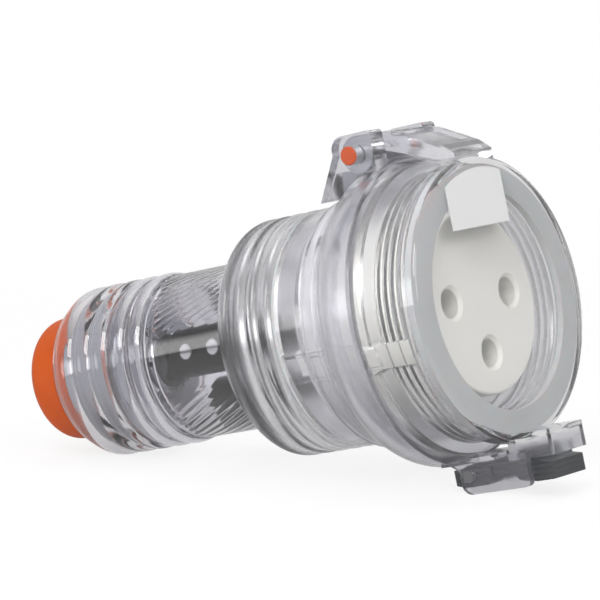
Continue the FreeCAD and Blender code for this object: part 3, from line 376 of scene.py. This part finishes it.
def rubber(name, light, dark, rough, glow=0.0, **plain):
    """A matt elastomer; plain holds values for other sockets of the shader."""
    finish = Finish(name, Subsurface_Weight=glow, Subsurface_Scale=GLOW_REACH, **plain)
    patch = finish.noise(scale=90.0, detail=4.0, roughness=0.6)
    finish.set("Base Color", finish.blend(patch, light, dark))
    finish.set("Roughness", rough + patch * RUBBER_DRIFT - RUBBER_DRIFT / 2)
    finish.bump(finish.noise(scale=1800.0, detail=3.0, roughness=0.6), PIT_DEPTH)
    return finish.material


RUBBERS = {
    "orange_rubber": {
        "light": (0.55, 0.090, 0.008, 1.0), "dark": (0.45, 0.062, 0.005, 1.0), "rough": 0.5,
        "glow": 0.1, "Specular_IOR_Level": 0.25},
    "frosted_seal": {
        "light": (0.54, 0.55, 0.555, 1.0), "dark": (0.48, 0.49, 0.495, 1.0), "rough": 0.5, "glow": 0.3},
    "black_seal": {"light": (0.02, 0.02, 0.022, 1.0), "dark": (0.012, 0.012, 0.013, 1.0), "rough": 0.45},
}
rubbers = {name: rubber(name, **facts) for name, facts in RUBBERS.items()}
print("rubber finishes:", ", ".join(rubbers))

# %% [markdown]
# ## Metal
# Contacts and terminals are a near-black metal, with bright nickel-plated clamp screws,
# and the pins are plain steel. Turning leaves fine rings round the axis; noise drawn out
# across the axis stands in for them. Stains make the gloss uneven.

# %% Metal
STAIN_DULLS = 0.2
STAIN_FROM = 0.05


def metal(name, light, dark, rough, scratch):
    """A turned or plated metal; scratch is the depth of its turning marks."""
    finish = Finish(name, Metallic=1.0)
    stain = finish.noise(scale=140.0, detail=5.0, roughness=0.65)
    finish.set("Base Color", finish.blend(stain, light, dark))
    finish.set("Roughness", rough + stain * STAIN_DULLS - STAIN_FROM)
    rings = finish.noise(scale=2500.0, detail=2.0, roughness=0.5, stretch=(1.0, 0.12, 0.12))
    finish.bump(rings, scratch)
    return finish.material


METALS = {
    "contact_metal": {
        "light": (0.014, 0.013, 0.012, 1.0), "dark": grey(0.004), "rough": 0.3, "scratch": 0.02 * MM},
    "plated_screw": {
        "light": (0.42, 0.42, 0.43, 1.0), "dark": (0.22, 0.22, 0.23, 1.0), "rough": 0.16,
        "scratch": 0.01 * MM},
    "steel_pin": {
        "light": (0.26, 0.26, 0.27, 1.0), "dark": (0.17, 0.17, 0.18, 1.0), "rough": 0.3,
        "scratch": 0.015 * MM},
}
metals = {name: metal(name, **facts) for name, facts in METALS.items()}
print("metal finishes:", ", ".join(metals))

# %% [markdown]
# ## Dressing the pieces
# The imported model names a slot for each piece, and the finishes above bear the slots' names, so
# a piece finds its own. Five clear pieces share one slot. Four of them have a cast and a gloss
# of their own, and are named one by one.

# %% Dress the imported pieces
FINISHES = {**clear, **plastics, **rubbers, **metals}
OWN_FINISH = {
    "lid": "clear_lid", "lid_collar": "clear_collar", "rear_body": "clear_neck", "gland_nut": "clear_rear",
}
for part in frame["record"]["subparts"]:
    mesh = frame["nodes"][part["node"]].data
    mesh.materials.clear()
    mesh.materials.append(FINISHES[OWN_FINISH.get(part["node"], part["material_slot"])])

# %% [markdown]
# ## A hair of air between pieces that touch
# Pieces that rest on each other share a plane, and there a ray can't tell the clear plastic's
# far side from the seal behind it. Real parts have a little air between them. A modifier draws
# the pieces in by a hundredth of a millimetre, which gives light the right order. Tube and lid
# keep their size, and the lid's seal is bonded to the lid, so it goes a hundredth into the
# plastic instead.

# %% Draw the skins in
AIR = 0.01 * MM
KEPT_FULL = ("socket_body", "lid")
BONDED = ("lid_seal",)
for name, node in frame["nodes"].items():
    if name not in KEPT_FULL:
        skin = node.modifiers.new("air", "DISPLACE")
        skin.mid_level = 0.0
        skin.strength = AIR if name in BONDED else -AIR
print("given a skin of air or a bond:", len(frame["nodes"]) - len(KEPT_FULL), "pieces")

# %% [markdown]
# ## The studio floor
# The connector lies on a white sweep that fills the picture. Clear plastic in a room that is
# white all round has no edges, because every ray that it bends or mirrors comes back white. So
# the floor is pure white to the camera alone. Bent and mirrored rays see it pale behind the
# connector and grey in front, and that draws the rings and rims. Close to the connector the
# floor also shows a faint share of its real shading, with the shadow in it.

# %% Floor
FLOOR_SIDE = 24.0
SHADOW_SHARE = 0.18
SHADOW_FADE = (0.1, 0.5)
BACK_LIGHT = 0.75
ROOM_LIGHT = 0.25
FLOOR_FADE = (-0.2, 0.4)
SEEN_BY = ("Is Camera Ray", "Is Glossy Ray", "Is Transmission Ray")


def rays(finish):
    """One for rays straight from the camera, and one for rays that were mirrored or bent."""
    camera_ray, glossy_ray, bent_ray = [finish.node("ShaderNodeLightPath", out=name) for name in SEEN_BY]
    return camera_ray, finish.sum("MAXIMUM", glossy_ray, bent_ray)


def pale_to_grey(finish, low, high):
    """The room's light, which falls from behind the connector towards the camera."""
    nearer = finish.rise(along(finish, tuple(away)), low, high)
    return finish.blend(nearer, grey(BACK_LIGHT), grey(ROOM_LIGHT))


def white_floor():
    """White to the camera, and the room's light to bent and mirrored rays."""
    finish = Finish("studio_floor", Base_Color=grey(0.86), Roughness=0.9)
    camera_ray, indirect = rays(finish)
    colour = finish.blend(indirect, grey(1.0), pale_to_grey(finish, *FLOOR_FADE))
    white = finish.node("ShaderNodeEmission", {}, {"Color": colour, "Strength": 1.0})
    reach = finish.node("ShaderNodeVectorMath", {"operation": "LENGTH"}, {0: finish.place}, "Value")
    shade = finish.rise(reach, *SHADOW_FADE, SHADOW_SHARE, 0.0)
    finish.end_with(finish.sum("MAXIMUM", camera_ray, indirect) * (1.0 - shade), white)
    return finish.material


bpy.ops.mesh.primitive_plane_add(size=FLOOR_SIDE)
floor = bpy.context.object
floor.name = "studio_floor"
floor.data.materials.append(white_floor())
print("floor:", FLOOR_SIDE, "metres each way")

# %% [markdown]
# ## The room round it
# The world does for the rest of the room what the floor does below: white to the camera, an
# even light to plain surfaces, and pale to grey for bent and mirrored rays. A bright softbox
# low on the camera's left gives the clear walls their highlights. It is a spot in the world
# and not a lamp, so it lights nothing else.

# %% World
WORLD_LIGHT = 0.75
ROOM_FADE = (-0.85, 0.0)
SOFTBOX = (-0.610, -0.790, 0.060)
SOFTBOX_FADE = (0.96, 0.985)
SOFTBOX_LIGHT = 2.6


class Surroundings(Finish):
    """The world's nodes, made with a finish's helpers. Its places are directions."""

    def __init__(self, name):
        world = bpy.data.worlds.new(name)
        bpy.context.scene.world = world
        world.use_nodes = True
        self.tree = world.node_tree
        self.shader = self.tree.nodes["Background"]
        self.place = self.node("ShaderNodeTexCoord", out="Generated")


studio = Surroundings("studio")
camera_ray, indirect = rays(studio)
softbox = studio.rise(along(studio, SOFTBOX), *SOFTBOX_FADE)
room = studio.blend(softbox, pale_to_grey(studio, *ROOM_FADE), grey(SOFTBOX_LIGHT), "ADD")
other = studio.blend(indirect, grey(WORLD_LIGHT), room)
studio.set("Color", studio.blend(camera_ray, other, grey(1.0)))
studio.set("Strength", 1.0)
print("world:", bpy.context.scene.world.name)

# %% [markdown]
# ## Soft panels
# Lamps give form to what isn't clear: the white insert, the orange parts and the lever. Large
# panels stand in for a photographer's softboxes, because a large lamp throws the soft shadows
# that a small one can't. The key stands high on the camera's left, a second one faces the
# socket, and a weak one hangs above.

# %% Soft panels
MIDDLE = (0.02, 0.0, 0.045)
PANELS = {
    "key_panel": {"place": (0.25, -0.75, 0.75), "size": (0.5, 0.4), "watts": 5.5},
    "top_panel": {"place": (-0.2, 0.1, 0.9), "size": (0.6, 0.5), "watts": 1.2},
    "front_panel": {"place": (0.75, -0.35, 0.5), "size": (0.4, 0.4), "watts": 2.1},
}


def soft_panel(name, place, size, watts):
    """A rectangular lamp that faces the connector's middle."""
    light = bpy.data.lights.new(name, "AREA")
    light.shape = "RECTANGLE"
    light.size, light.size_y = size
    light.energy = watts
    panel = bpy.data.objects.new(name, light)
    panel.location = place
    panel.rotation_euler = (Vector(MIDDLE) - Vector(place)).to_track_quat("-Z", "Y").to_euler()
    bpy.context.scene.collection.objects.link(panel)


for name, facts in PANELS.items():
    soft_panel(name, **facts)
print("panels:", ", ".join(PANELS))

# %% [markdown]
# ## Rays through many clear walls
# On its way to the insert a ray crosses the lid, the tube and their far sides, and each wall
# takes a bounce. Cycles usually stops after about a dozen, which would leave dark patches, so
# its limits are raised. The Standard view shows a colour as it was written.

# %% Rays through many clear walls
WALLS_ON_THE_WAY = 32
scene = bpy.context.scene
scene.view_settings.view_transform = "Standard"
scene.cycles.max_bounces = WALLS_ON_THE_WAY
scene.cycles.transmission_bounces = WALLS_ON_THE_WAY
scene.cycles.transparent_max_bounces = WALLS_ON_THE_WAY
print("bounces allowed:", WALLS_ON_THE_WAY)

# %% [markdown]
# ## The end

# %% The end
print("the end")
